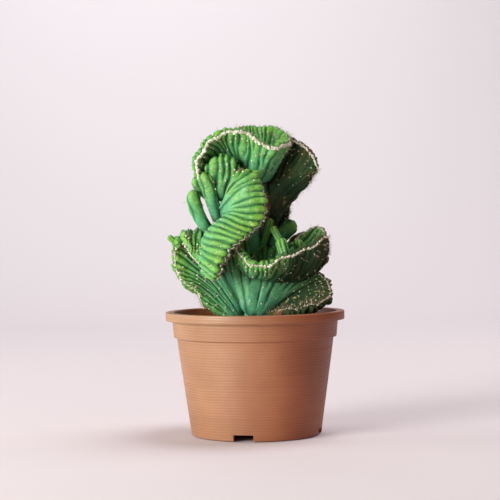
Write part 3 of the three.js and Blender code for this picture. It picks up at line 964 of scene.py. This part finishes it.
def lobe_skin(lobe, s, w):
    """Places in mm on the finished skin, the outward directions, and its numbers."""
    side = np.where(w < 0, -1.0, 1.0)
    reach = np.abs(w)
    cap = np.clip(reach / CAP, 0, 1)
    flat = np.clip((reach - CAP) / (1 - CAP), 0, 1)
    rib_length, v_edge = lobe.edge(s)
    v = v_edge * (1 - flat**CROWDING)
    place, up, normal, _ = lobe.frame(s, v)
    angle = cap * math.pi / 2
    out = unit(up) * np.cos(angle)[:, None] + normal * (side * np.sin(angle))[:, None]
    round_edge = w / CAP - lobe.seam
    rise, ridge = rib_relief(lobe, s, v, np.where(round_edge < 0, -1.0, 1.0))
    on_cap = 1 - smoothstep(0.0, 1.0, cap)
    rise = rise * (1 + 0.25 * on_cap)
    if lobe.parted:
        rise = rise * smoothstep(0.0, 0.45, np.abs(round_edge))
    rise = rise + bead_relief(lobe, s, v, side, (1 - v) * rib_length, ridge)
    groove = 0.5 * lobe.parted * np.exp(-((round_edge / 0.3) ** 2))
    half = lobe.half_root + (lobe.half_edge - lobe.half_root) * v
    ends = rounded(np.minimum(s, 1 - s) * lobe.length / (1.4 * lobe.half_edge))
    thick = (half + rise - groove + lumps(lobe, place)) * ends * rounded(v / 0.05)
    lean, stretch = crest_waves(lobe, s * lobe.length, v)
    spot = place + out * thick[:, None]
    spot = spot + normal * lean[:, None] + unit(up) * stretch[:, None]
    share = v / np.maximum(v_edge, 0.01)
    return spot, out, skin_numbers(lobe, s, share, ridge, on_cap)


# %% Close a skin
def close_skin(bm, spots, numbers, name, material):
    """Moves a grid's points to their places in mm, stores their numbers and welds its edges."""
    for v, spot in zip(bm.verts, spots * MM):
        v.co = spot
    for label, values in numbers.items():
        layer = bm.verts.layers.float.new(label)
        for v, value in zip(bm.verts, values):
            v[layer] = value
    bmesh.ops.remove_doubles(bm, verts=bm.verts, dist=0.00002)
    bmesh.ops.recalc_face_normals(bm, faces=bm.faces)
    return finish_piece(bm, name, material, replaces="cactus")


# %% Fold the grid over
def fold_lobe(lobe, material):
    """Folds a flat grid over the lobe's sheet and closes its two ends and its root."""
    bm = bmesh.new()
    across, rows = max(28, lobe.ribs * 7), 52
    bmesh.ops.create_grid(bm, x_segments=across, y_segments=rows, size=1)
    flat = np.array([v.co[:2] for v in bm.verts])
    s, w = (flat[:, 0] + 1) / 2, flat[:, 1]
    # Rows are closer together over the round edge than on the flat sides.
    w = np.sign(w) * np.abs(w) ** 1.5
    spots, _, numbers = lobe_skin(lobe, np.clip(s, 0, 1), w)
    return close_skin(bm, spots, numbers, lobe.name, material)


# %% [markdown]
# The trunk is the old stem inside the lobes. It is a tube with the same kind of ribs, thicker
# where lobes leave it. Young shoots are short round pegs on the crest.

# %% Sizes of the trunk and the shoots
TRUNK = [  # x, y, height, half width, half depth in mm
    (-4, 0, 66, 0.1, 0.1),
    (-4, 0, 67, 6, 5),
    (-4, 0, 76, 7.5, 6),
    (-4, 0, 92, 7, 5),
    (-3, 3, 110, 10, 5),
    (-4, 5, 130, 20, 8),
    (-4, 6, 150, 21, 9),
    (-3, 6, 166, 19, 9),
    (-2, 7, 182, 16, 9),
    (-2, 7, 196, 13, 8),
    (-1, 6, 205, 9, 6),
    (-1, 6, 207, 0.1, 0.1),
]
BUDS = [  # from, to and radius in mm
    ((-5, -27, 203), (3, -30, 202), 3.4),
    ((6, 1, 144), (13, -9, 166), 2.6),
    ((25, -31, 134), (21, -27, 149), 4.4),
    ((22, -27, 147), (15, -24, 160), 2.7),
    ((-57, -10, 147), (-65, -9, 154), 2.4),
    ((-46, -2, 150), (-49, -3, 158), 2.2),
    ((36, -14, 129), (34, -14, 148), 4.0),
]
print("trunk from", TRUNK[0][2], "to", TRUNK[-1][2], "mm up, shoots:", len(BUDS))

# %% Roll a grid into a tube
def wrap_grid(columns, rows, place, name, material):
    """Rolls a flat grid into a closed tube: place gives points for (round, up) shares."""
    bm = bmesh.new()
    bmesh.ops.create_grid(bm, x_segments=columns, y_segments=rows, size=1)
    flat = np.array([v.co[:2] for v in bm.verts])
    spots, numbers = place((flat[:, 0] + 1) / 2, (flat[:, 1] + 1) / 2)
    return close_skin(bm, spots, numbers, name, material)


# %% The trunk's skin
def ribbed(turn, depth):
    """Relief of a rib that repeats once a turn, in mm, and its height from 0 to 1."""
    ridge = arch(turn, 1)
    return depth * (ridge - 0.62), ridge


def trunk_place(round_share, up_share):
    """The rule for the trunk's skin: an oval tube with nine ribs, corky and dark on its right side,
    partly old skin and partly painted shade.
    """
    rings = catmull_rom(TRUNK, up_share)
    relief = 0.15 + 1.85 * smoothstep(112, 130, rings[:, 2])
    rise, ridge = ribbed(round_share * 9 + 0.5 * np.sin(up_share * 9), relief)
    angle = round_share * math.tau
    wide = np.clip(rings[:, 3] + rise * rounded(rings[:, 3] / 9), 0.05, None)
    deep = np.clip(rings[:, 4] + rise * rounded(rings[:, 4] / 7), 0.05, None)
    x = rings[:, 0] + wide * np.cos(angle)
    y = rings[:, 1] + deep * np.sin(angle)
    spots = np.stack([x, y, rings[:, 2]], axis=1)
    flat = np.zeros_like(x)
    # Painted shade: the right side, away from the light, is painted old and corky.
    shaded_right_side = smoothstep(2, 12, x) * smoothstep(120, 145, rings[:, 2])
    numbers = {
        "rib": ridge,
        "reach": flat + 0.15,
        "young": -0.9 * shaded_right_side,
        "cork": 0.12 + 0.4 * shaded_right_side,
    }
    return spots, numbers


# %% A shoot's skin
def bud_place(start, end, radius):
    """The rule for one shoot's skin: a ribbed peg from start to end with a domed tip."""
    start, end = np.array(start, dtype=float), np.array(end, dtype=float)
    axis = unit(end - start)
    side = unit(np.cross(axis, [0.3, 0.9, 0.2]))
    other = np.cross(axis, side)
    length = np.linalg.norm(end - start)

    def place(round_share, up_share):
        far = up_share * (length + radius)
        dome = rounded((length + radius - far) / radius)
        rise, ridge = ribbed(round_share * 7, radius * 0.22)
        wide = (radius * (0.85 + 0.15 * up_share) + rise) * dome * rounded(up_share / 0.04)
        angle = round_share * math.tau
        spots = (
            start
            + axis * far[:, None]
            + side * (wide * np.cos(angle))[:, None]
            + other * (wide * np.sin(angle))[:, None]
        )
        numbers = {
            "rib": ridge,
            "reach": 0.5 + 0.5 * up_share,
            "young": np.full_like(wide, 0.75),
            "cork": np.zeros_like(wide),
        }
        return spots, numbers

    return place


# %% [markdown]
# ## The skin's material
#
# The skin is living epidermis under a thin coat of wax. Old skin near the hub is blue-green and
# dulled by bloom; towards the crest it turns to a fresh yellow-green. Valleys between ribs and
# deep folds are painted darker as shade, and rib tops get a painted highlight in part. Old edges
# are sealed with brown cork, and lobes that face away from the light are painted dark olive:
# partly old skin, partly painted shade. The numbers that were stored on the points say where on
# a rib and how far from the hub each place is, and noise breaks them up.

# %% Young skin
def young_skin(tree, reach, rib, youth_shade_factor):
    """Blue-green at the hub, fresh green at the crest, and yellower on the ribs' tops, partly as a
    painted highlight.
    """
    grown = ramp(
        tree, reach, (0.0, "#5ba683"), (0.45, "#5eb080"), (0.8, "#62b06c"), (1.0, "#6fb356")
    )
    fresh = ramp(
        tree, reach, (0.0, "#66af8a"), (0.4, "#68b27a"), (0.8, "#5ba24c"), (1.0, "#78b34b")
    )
    aged = blend(tree, youth_shade_factor, grown, fresh)
    # The tops of the ribs are yellower, most of all near the crest: partly fresher tissue, partly a
    # painted highlight.
    ridge_tint_and_highlight = remap(tree, rib, (0.6, 1.0), (0.0, 0.45))
    return blend(tree, maths(tree, "MULTIPLY", ridge_tint_and_highlight, reach), aged, linear("#98c04e"))


# %% Old skin, and painted shade on lobes and in the valleys
def aged_and_shaded_skin(tree, young_colour, clouds, rib, age_and_shade):
    """Dark olive where the skin is old and, as painted shade, on lobes that face away from the
    light, with dark green and brown clouds; painted shade in the valleys.
    """
    # Painted shade in part: where the age value is high, the skin turns dark olive.
    weathered_and_shaded = ramp(tree, clouds, (0.34, "#15240c"), (0.5, "#232d10"), (0.64, "#3a2713"))
    old = blend(tree, age_and_shade, young_colour, weathered_and_shaded)
    # Painted shade: the valleys between the ribs are darkened.
    groove = remap(tree, rib, (0.7, 0.0), (0.0, 0.9))
    return blend(tree, groove, old, linear("#173a20"))


# %% Speckle, flecks and cork
def marked_skin(tree, colour, place, speckle, clouds, cork):
    """The fine marks on the skin: dull speckle, pale flecks and brown cork on old edges."""
    speck = ramp(tree, speckle, (0.35, "#d8e0d0"), (0.6, "#ffffff"))
    mottled = blend(tree, 1.0, colour, speck, "MULTIPLY")
    # 4 mm pale flecks, thinly strewn.
    fleck = remap(tree, noise(tree, place, 260.0, 1.0), (0.68, 0.76), (0.0, 0.45))
    flecked = blend(tree, fleck, mottled, linear("#c9c46c"))
    corky = remap(tree, maths(tree, "MULTIPLY", cork, clouds), (0.16, 0.3), (0.0, 0.9))
    return blend(tree, corky, flecked, linear("#6e4a33"))


# %% Painted shade in the folds
def painted_fold_shade(tree, colour):
    """Painted shade: the skin is darkened in folds up to 9 mm deep, where little light reaches."""
    fold_shade = node(tree, "AmbientOcclusion", {"Distance": 0.009}, samples=6)
    deep = remap(tree, fold_shade.outputs["AO"], (0.25, 0.8), (0.28, 1.0))
    return blend(tree, 1.0, colour, deep, "MULTIPLY")


# %% Gloss and small relief
def skin_roughness(tree, speckle, age_and_shade):
    """Waxy and a little uneven; old skin has lost its wax and is dull."""
    rough = remap(tree, speckle, (0.3, 0.7), (0.3, 0.46))
    dull = remap(tree, age_and_shade, (0.0, 1.0), (0.0, 0.45))
    return maths(tree, "ADD", rough, dull)


def skin_bump(tree, place, speckle):
    """4 mm dimples, where the flesh has shrunk a little, under a 1.6 mm grain."""
    dimples = noise(tree, place, 240.0, 2.0)
    soft = node(tree, "Bump", {"Height": dimples, "Strength": 0.6, "Distance": 0.0014})
    return node(
        tree,
        "Bump",
        {"Height": speckle, "Strength": 0.35, "Distance": 0.0003, "Normal": soft.outputs[0]},
    ).outputs[0]


# %% The cactus skin
def cactus_skin():
    material, tree, shader = new_material("waxy_cactus_skin")
    place = node(tree, "TexCoord").outputs["Object"]
    rib, reached, youth_shade_factor, cork = (
        node(tree, "Attribute", attribute_name=label).outputs["Fac"]
        for label in ("rib", "reach", "young", "cork")
    )
    # 14 mm clouds and 1.6 mm speckle.
    clouds = noise(tree, place, 70.0, 4.0)
    speckle = noise(tree, place, 620.0, 3.0)
    drift = remap(tree, clouds, (0.3, 0.7), (-0.18, 0.18))
    reach = maths(tree, "ADD", reached, drift)
    # Below 0 the youth number stands for age and painted shade. A little of the young colour always
    # stays.
    age_and_shade = maths(tree, "MINIMUM", maths(tree, "MULTIPLY", youth_shade_factor, -1.0), 0.92)
    colour = young_skin(tree, reach, rib, youth_shade_factor)
    colour = aged_and_shaded_skin(tree, colour, clouds, rib, age_and_shade)
    colour = marked_skin(tree, colour, place, speckle, clouds, cork)
    tree.links.new(painted_fold_shade(tree, colour), shader.inputs["Base Color"])
    tree.links.new(skin_roughness(tree, speckle, age_and_shade), shader.inputs["Roughness"])
    tree.links.new(skin_bump(tree, place, speckle), shader.inputs["Normal"])
    shader.inputs["IOR"].default_value = 1.42
    shader.inputs["Specular IOR Level"].default_value = 0.35
    shader.inputs["Subsurface Weight"].default_value = 0.05
    shader.inputs["Subsurface Radius"].default_value = (0.5, 1.0, 0.25)
    shader.inputs["Subsurface Scale"].default_value = 0.003
    return material


# %% Make the plant
skin = cactus_skin()
lobes = {name: Lobe(name, seed) for seed, name in enumerate(LOBES, 11)}
for lobe in lobes.values():
    fold_lobe(lobe, skin)
wrap_grid(156, 110, trunk_place, "trunk", skin)
for number, bud in enumerate(BUDS, 1):
    wrap_grid(42, 22, bud_place(*bud), f"shoot_{number}", skin)

# %% [markdown]
# ## Areoles, spines and wool
#
# A cactus grows its spines from areoles, small cushions of cream wool that sit along the top of
# each rib. They stand closest together at the crest and about a centimetre apart lower down. The
# crest line itself is one continuous strip of wool. All of these are tiny shapes with few faces,
# copied thousands of times: a ball of 20 faces for a cushion and a three-sided taper for a spine.

# %% Find the areoles on a lobe's ribs
GAPS = [2.2, 5.0, 7.5, 9.0, 10.0, 11.0, 11.0, 11.0]  # mm between areoles, from the crest
INSIDE = 0.004, 0.996  # areoles keep inside the crest's two ends
STEPS_UP = 48  # points along a rib for measuring its length
# The share of its areoles that each lobe has kept; 0.6 for the others.
KEPT = {"front_cape": 0.22, "right_cone": 0.45, "dish": 0.5, "base_fan": 0.5}


def is_kept(lobe, s, side, gone, draw):
    """Whether this areole still has its wool: old faces have lost many of theirs."""
    share = KEPT.get(lobe.name, 0.6)
    if lobe.name == "base_fan" and (s > 0.72 or side < 0):
        share = 1.0
    if gone < 4:
        share = max(share, 0.7)
    return draw.uniform() < share


def areole_spots(lobe, draw):
    """(s, w, distance from the crest) for each areole of a lobe, both faces."""
    found = []
    steps = np.linspace(0, 1, STEPS_UP)
    for side in (-1.0, 1.0):
        for rib in range(int(rib_count(lobe, side))):
            s = np.clip(np.full(1, share_at(lobe, rib + 0.5, side)), *INSIDE)
            v_edge = lobe.edge(s)[1][0]
            path = lobe.sheet(np.repeat(s, STEPS_UP), steps * v_edge)[0]
            run = np.concatenate([[0], np.cumsum(np.linalg.norm(np.diff(path, axis=0), axis=1))])
            gone = 0.6
            for gap in GAPS:
                gone += gap * draw.uniform(0.85, 1.15)
                if gone > run[-1] - 5:
                    break
                v = np.interp(run[-1] - gone, run, steps) * v_edge
                side_of = np.full(1, side)
                joined = 2 ** round(float(rib_forks(lobe, s, np.full(1, v), side_of)[2][0]))
                if rib % joined or not is_kept(lobe, float(s[0]), side, gone, draw):
                    continue
                here = np.clip(share_at(lobe, rib + 0.5 * joined, side), *INSIDE)
                flat = (1 - v / v_edge) ** (1 / CROWDING)
                found.append((here, side * (CAP + flat * (1 - CAP)), gone))
    return np.array(found)


# %% Places along the crest
def crest_spots(lobe, gap):
    """Places along the crest line, outwards there, and how full the wool is at each."""
    s = np.arange(0.5, lobe.length, gap) / lobe.length
    spot, out, _ = lobe_skin(lobe, s, np.full_like(s, lobe.seam * CAP))
    full = 0.75 + 0.35 * rib_relief(lobe, s, np.ones_like(s), np.ones_like(s))[1]
    # The old ends of the dish and of the base have worn thin.
    if lobe.name in ("dish", "base_fan"):
        full = full * (1 - 0.35 * smoothstep(0.4, 0.8, s))
    return spot, out, full


# %% Stand a shape on the skin
def standing(spots, directions, wide, tall, draw):
    """4x4 places for a shape that stands on each spot and points along its direction."""
    up = unit(directions)
    side = unit(np.cross(up, unit(draw.normal(size=up.shape))))
    other = np.cross(up, side)
    places = np.zeros((len(up), 4, 4))
    places[:, :3, 0] = side * np.reshape(wide, (-1, 1)) * MM
    places[:, :3, 1] = other * np.reshape(wide, (-1, 1)) * MM
    places[:, :3, 2] = up * np.reshape(tall, (-1, 1)) * MM
    places[:, :3, 3] = spots * MM
    places[:, 3, 3] = 1
    return places


# %% Cream wool and spines: their materials
def wool_material():
    """Areole wool: short matted cream hairs, dull and a little dirty."""
    material, tree, shader = new_material("matted_areole_wool")
    place = node(tree, "TexCoord").outputs["Object"]
    # 2.5 mm tufts.
    tufts = noise(tree, place, 400.0, 4.0)
    colour = ramp(tree, tufts, (0.3, "#bfc0a0"), (0.5, "#e6e9d4"), (0.68, "#fdfdf6"))
    tree.links.new(colour, shader.inputs["Base Color"])
    shader.inputs["Roughness"].default_value = 0.95
    shader.inputs["Sheen Weight"].default_value = 0.3
    return material


def spine_material():
    """Spines: hard, dry bark-like tissue, straw at the base and red-brown at the point."""
    material, tree, shader = new_material("hard_spine")
    along = node(tree, "Attribute", attribute_name="along").outputs["Fac"]
    colour = ramp(tree, along, (0.0, "#ebe4d0"), (0.45, "#b8937a"), (1.0, "#5c3229"))
    tree.links.new(colour, shader.inputs["Base Color"])
    shader.inputs["Roughness"].default_value = 0.5
    return material


# %% Grow the areoles, the wool line and the spines
def grow_spines():
    draw = np.random.default_rng(71)
    cushions, spines = [], []
    for lobe in lobes.values():
        found = areole_spots(lobe, draw)
        spot, out, numbers = lobe_skin(lobe, found[:, 0], found[:, 1])
        near = np.exp(-found[:, 2] / 6)
        worn = 1 - 0.25 * np.clip(-numbers["young"], 0, 1)
        size = draw.uniform(0.5, 0.75, len(spot)) * (1 + 0.15 * near) * worn
        cushions.append(standing(spot, out, size, size * 0.8, draw))
        count = 1 + np.round(3.0 * near + draw.uniform(0, 1.2, len(spot))).astype(int)
        spots, outs = np.repeat(spot, count, axis=0), np.repeat(out, count, axis=0)
        long = np.repeat(2.8 + 2.6 * near, count) * draw.uniform(0.6, 1.3, len(spots))
        tilt = outs + draw.normal(size=outs.shape) * 0.55
        spines.append(standing(spots, tilt, 0.12, long, draw))
        if lobe.wool:
            spot, out, full = crest_spots(lobe, 0.6)
            shift = draw.normal(size=spot.shape) * 0.4
            wide = lobe.wool * draw.uniform(0.6, 1.05, len(spot)) * full
            cushions.append(standing(spot + shift, out, wide, wide * 0.9, draw))
            spots, outs = np.repeat(spot + shift, 2, axis=0), np.repeat(out, 2, axis=0)
            tilt = outs + draw.normal(size=outs.shape) * 0.55
            long = draw.uniform(1.8, 5.5, len(spots))
            spines.append(standing(spots, tilt, 0.12, long, draw))
    return np.concatenate(cushions), np.concatenate(spines)


cushion_places, spine_places = grow_spines()
print("cushions:", len(cushion_places), "spines:", len(spine_places))
cushion = bmesh.new()
bmesh.ops.create_icosphere(cushion, subdivisions=1, radius=1)
scatter(cushion, "areole_wool", cushion_places, wool_material())
spine = bmesh.new()
bmesh.ops.create_cone(
    spine,
    cap_ends=True,
    segments=3,
    radius1=1,
    radius2=0.15,
    depth=1,
    matrix=Matrix.Translation((0, 0, 0.5)),
)
heights = [v.co.z for v in spine.verts]
scatter(
    spine,
    "spines",
    spine_places,
    spine_material(),
    attributes={"along": np.tile(heights, len(spine_places))},
)
